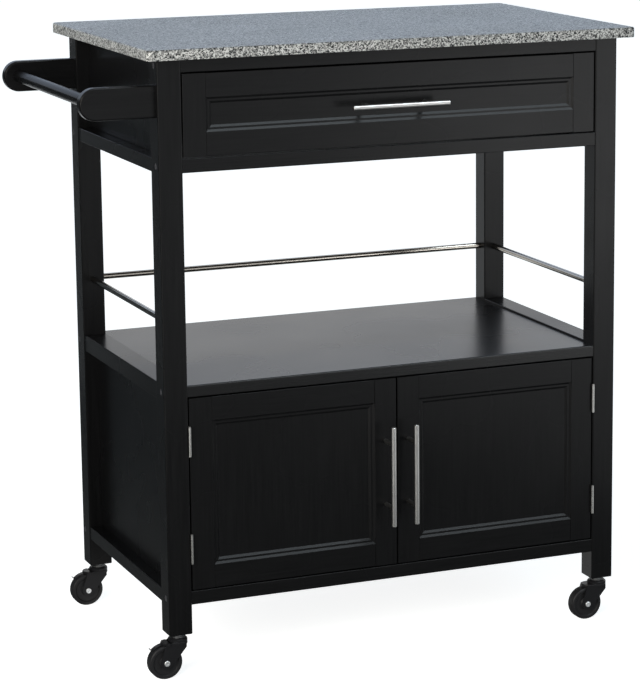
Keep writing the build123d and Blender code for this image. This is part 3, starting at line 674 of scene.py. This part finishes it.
class CART_OT_drawer_box(bpy.types.Operator):
    """Finish the drawer box, its slides and the door catches"""

    bl_idname = "cart.drawer_box"
    bl_label = "Drawer Box"

    def execute(self, context):
        look = context.scene.cart_casters
        finish_nodes(bpy.data.materials["black_lacquer_y"], "drawer_sides")
        finish_nodes(bpy.data.materials["black_lacquer_x"], "drawer_ends")
        finish_nodes(bpy.data.materials["black_foil"], "drawer_bottom")
        finish_nodes(bpy.data.materials["zinc_steel"], "drawer_channels", "drawer_runners")
        plastic = coated("catch_plastic", look.plastic, look.catch_roughness, look.texture)
        finish_nodes(plastic, "door_catches")
        return {"FINISHED"}


class CART_OT_casters(bpy.types.Operator):
    """Finish the casters and their brake pedals"""

    bl_idname = "cart.casters"
    bl_label = "Casters"

    def execute(self, context):
        look = context.scene.cart_casters
        paint = coated("fork_paint", look.paint, look.paint_roughness, look.paint_grain, look.ior)
        plastic = coated("wheel_plastic", look.plastic, look.wheel_roughness, look.texture, look.ior)
        for corner in ("front_left", "back_left", "front_right", "back_right"):
            finish_nodes(paint, f"caster_fork_{corner}")
            finish_nodes(plastic, f"caster_wheel_{corner}")
            finish_nodes(bpy.data.materials["zinc_steel"], f"caster_axle_{corner}")
        finish_nodes(paint, "brake_pedal_front_left", "brake_pedal_back_left")
        return {"FINISHED"}


def seen_rays(material):
    """One for rays from the camera, in a mirror or through glass, and nothing for other rays."""
    path = wire(material, "ShaderNodeLightPath")
    mirrored = wire(
        material,
        "ShaderNodeMath",
        {0: path.outputs["Is Camera Ray"], 1: path.outputs["Is Glossy Ray"]},
        operation="ADD",
    )
    return wire(
        material,
        "ShaderNodeMath",
        {0: mirrored.outputs[0], 1: path.outputs["Is Transmission Ray"]},
        operation="ADD",
        use_clamp=True,
    ).outputs[0]


def area_light(name, spot, target, size, watts, tint=(1.0, 1.0, 1.0)):
    """A soft rectangular lamp that faces a target."""
    data = bpy.data.lights.new(name, "AREA")
    data.shape = "RECTANGLE"
    data.size, data.size_y = size
    data.energy = watts
    data.color = tint
    lamp = bpy.data.objects.new(name, data)
    bpy.context.scene.collection.objects.link(lamp)
    lamp.location = spot
    lamp.visible_camera = False
    lamp.rotation_mode = "QUATERNION"
    lamp.rotation_quaternion = (Vector(target) - Vector(spot)).to_track_quat("-Z", "Y")
    return lamp


def flat_sheet(name, corner, first_side, second_side):
    """One flat face of the stage, from a corner and the two sides that leave it."""
    corner, first_side, second_side = Vector(corner), Vector(first_side), Vector(second_side)
    corners = [corner, corner + first_side, corner + first_side + second_side, corner + second_side]
    mesh = bpy.data.meshes.new(name)
    mesh.from_pydata(corners, [], [(0, 1, 2, 3)])
    sheet = bpy.data.objects.new(name, mesh)
    bpy.context.scene.collection.objects.link(sheet)
    return sheet


class CART_OT_studio(bpy.types.Operator):
    """Set up the floor, the lights and the camera"""

    bl_idname = "cart.studio"
    bl_label = "Studio"

    def execute(self, context):
        look = context.scene.cart_studio
        self.make_floor(look)
        self.make_world(look)
        self.make_lamps(look)
        self.make_reflection_cards(look)
        self.make_camera(look)
        context.scene.view_settings.view_transform = "Standard"
        return {"FINISHED"}

    def make_floor(self, look):
        """A pale floor that takes shadows and looks white beyond them."""
        side = look.floor_size
        floor = flat_sheet("floor", (-side / 2, -side / 2, 0), (side, 0, 0), (0, side, 0))
        material = empty_material("floor_paper")
        paper = wire(material, "ShaderNodeBsdfDiffuse", {"Color": opaque(look.floor_colour)})
        glow = wire(material, "ShaderNodeEmission", {"Strength": look.floor_glow})
        lit = wire(material, "ShaderNodeAddShader", {0: paper.outputs[0], 1: glow.outputs[0]})
        show(
            material,
            "ShaderNodeMixShader",
            {0: seen_rays(material), 1: paper.outputs[0], 2: lit.outputs[0]},
        )
        floor.data.materials.append(material)

    def make_world(self, look):
        """Cool light from all round, which looks white where it is seen."""
        world = bpy.data.worlds.new("studio")
        world.use_nodes = True
        world.node_tree.nodes.clear()
        bpy.context.scene.world = world
        seen = seen_rays(world)
        tint = wire(
            world,
            "ShaderNodeMix",
            {"Factor": seen, "A": opaque(look.ambient_colour), "B": opaque((1.0, 1.0, 1.0))},
            data_type="RGBA",
        )
        strength = spread(world, seen, look.ambient, 1.0)
        light = wire(world, "ShaderNodeBackground", {"Color": tint.outputs["Result"], "Strength": strength})
        wire(world, "ShaderNodeOutputWorld", {"Surface": light.outputs[0]})

    def make_lamps(self, look):
        """A large lamp in front, a low one on the right, and one overhead that shows as gloss only."""
        below = (look.strip_place[0], look.strip_place[1], 0.0)
        area_light(
            "front_softbox", look.key_place, look.aim, look.key_size, look.key_power, look.key_colour
        )
        strip = area_light(
            "overhead_strip", look.strip_place, below, look.strip_size, look.strip_power, look.strip_colour
        )
        strip.visible_diffuse = False
        area_light("low_softbox", look.low_place, look.aim, look.low_size, look.low_power)

    def make_reflection_cards(self, look):
        """Cards for the cart to mirror, seen only in its reflections: painted dark reflections on its left
        and in front, and a painted cool reflection behind.
        """
        deep, high, foot = look.dark_reflection_size
        dark = {"Color": opaque(look.dark_reflection_colour)}
        # Painted dark reflection on the cart's left: a dark card and foot that only its reflections show.
        card = flat_sheet("dark_reflection_card", look.dark_reflection_place, (0, deep, 0), (0, 0, high))
        self.mirror_only(card, "ShaderNodeBsdfDiffuse", dark)
        card_foot = flat_sheet("dark_reflection_card_foot", look.dark_reflection_place, (0, deep, 0), (foot, 0, 0))
        self.mirror_only(card_foot, "ShaderNodeBsdfDiffuse", dark)
        # Painted dark reflection before the cart: a dark mat that only its reflections show.
        wide, deep = look.front_reflection_size
        mat = flat_sheet("dark_front_reflection", look.front_reflection_place, (wide, 0, 0), (0, deep, 0))
        self.mirror_only(mat, "ShaderNodeBsdfDiffuse", {"Color": opaque(look.front_reflection_colour)})
        # Painted cool reflection: a glowing card behind the cart that only its reflections show.
        wide, high = look.cool_reflection_size
        sky = flat_sheet("cool_reflection_card", look.cool_reflection_place, (wide, 0, 0), (0, 0, high))
        self.mirror_only(
            sky, "ShaderNodeEmission", {"Color": opaque(look.cool_reflection_colour), "Strength": look.cool_reflection_glow}
        )

    def mirror_only(self, sheet, kind, inputs):
        """Finish a sheet and show it in reflections only."""
        for ray in ("camera", "diffuse", "shadow", "transmission"):
            setattr(sheet, f"visible_{ray}", False)
        sheet.data.materials.append(show(empty_material(sheet.name), kind, inputs))

    def make_camera(self, look):
        """A camera at the photograph's viewing angle."""
        data = bpy.data.cameras.new("camera")
        data.lens = look.focal_pixels / PHOTO_HEIGHT * data.sensor_width
        data.shift_x = (PHOTO_WIDTH / 2 - look.sight_point[0]) / PHOTO_HEIGHT
        data.shift_y = (look.sight_point[1] - PHOTO_HEIGHT / 2) / PHOTO_HEIGHT
        camera = bpy.data.objects.new("camera", data)
        bpy.context.scene.collection.objects.link(camera)
        camera.matrix_world = (
            Matrix.Translation(look.camera_place)
            @ Matrix.Rotation(-look.camera_turn, 4, "Z")
            @ Matrix.Rotation(math.pi / 2 + look.camera_tilt, 4, "X")
            @ Matrix.Rotation(look.camera_roll, 4, "Z")
        )
        bpy.context.scene.camera = camera


class CART_PT_panel(bpy.types.Panel):
    """Steps of the kitchen cart, and the sizes and colours that they use"""

    bl_idname = "CART_PT_panel"
    bl_label = "Kitchen Cart"
    bl_space_type = "VIEW_3D"
    bl_region_type = "UI"
    bl_category = "Cart"

    def draw(self, context):
        for step in STEPS:
            self.layout.operator(step.bl_idname)
        for group, kind in GROUPS.items():
            box = self.layout.box()
            for name in kind.__annotations__:
                box.prop(getattr(context.scene, group), name)


STEPS = (
    CART_OT_worktop,
    CART_OT_wood_frame,
    CART_OT_push_handle,
    CART_OT_gallery,
    CART_OT_fronts,
    CART_OT_drawer_box,
    CART_OT_casters,
    CART_OT_studio,
)
GROUPS = {
    "cart_lacquer": CartLacquer,
    "cart_stone": CartStone,
    "cart_metals": CartMetals,
    "cart_casters": CartCasters,
    "cart_studio": CartStudio,
}


def register():
    """Register the classes, and give the scene one set of each group of values."""
    for kind in (*GROUPS.values(), *STEPS, CART_PT_panel):
        bpy.utils.register_class(kind)
    for name, kind in GROUPS.items():
        setattr(bpy.types.Scene, name, PointerProperty(type=kind))


def unregister():
    """Take back what register did."""
    for name in GROUPS:
        delattr(bpy.types.Scene, name)
    for kind in reversed((*GROUPS.values(), *STEPS, CART_PT_panel)):
        bpy.utils.unregister_class(kind)


def main():
    """Make the whole cart."""
    register()
    bpy.ops.cart.worktop()
    bpy.ops.cart.wood_frame()
    bpy.ops.cart.push_handle()
    bpy.ops.cart.gallery()
    bpy.ops.cart.fronts()
    bpy.ops.cart.drawer_box()
    bpy.ops.cart.casters()
    bpy.ops.cart.studio()


if __name__ == "__main__":
    main()
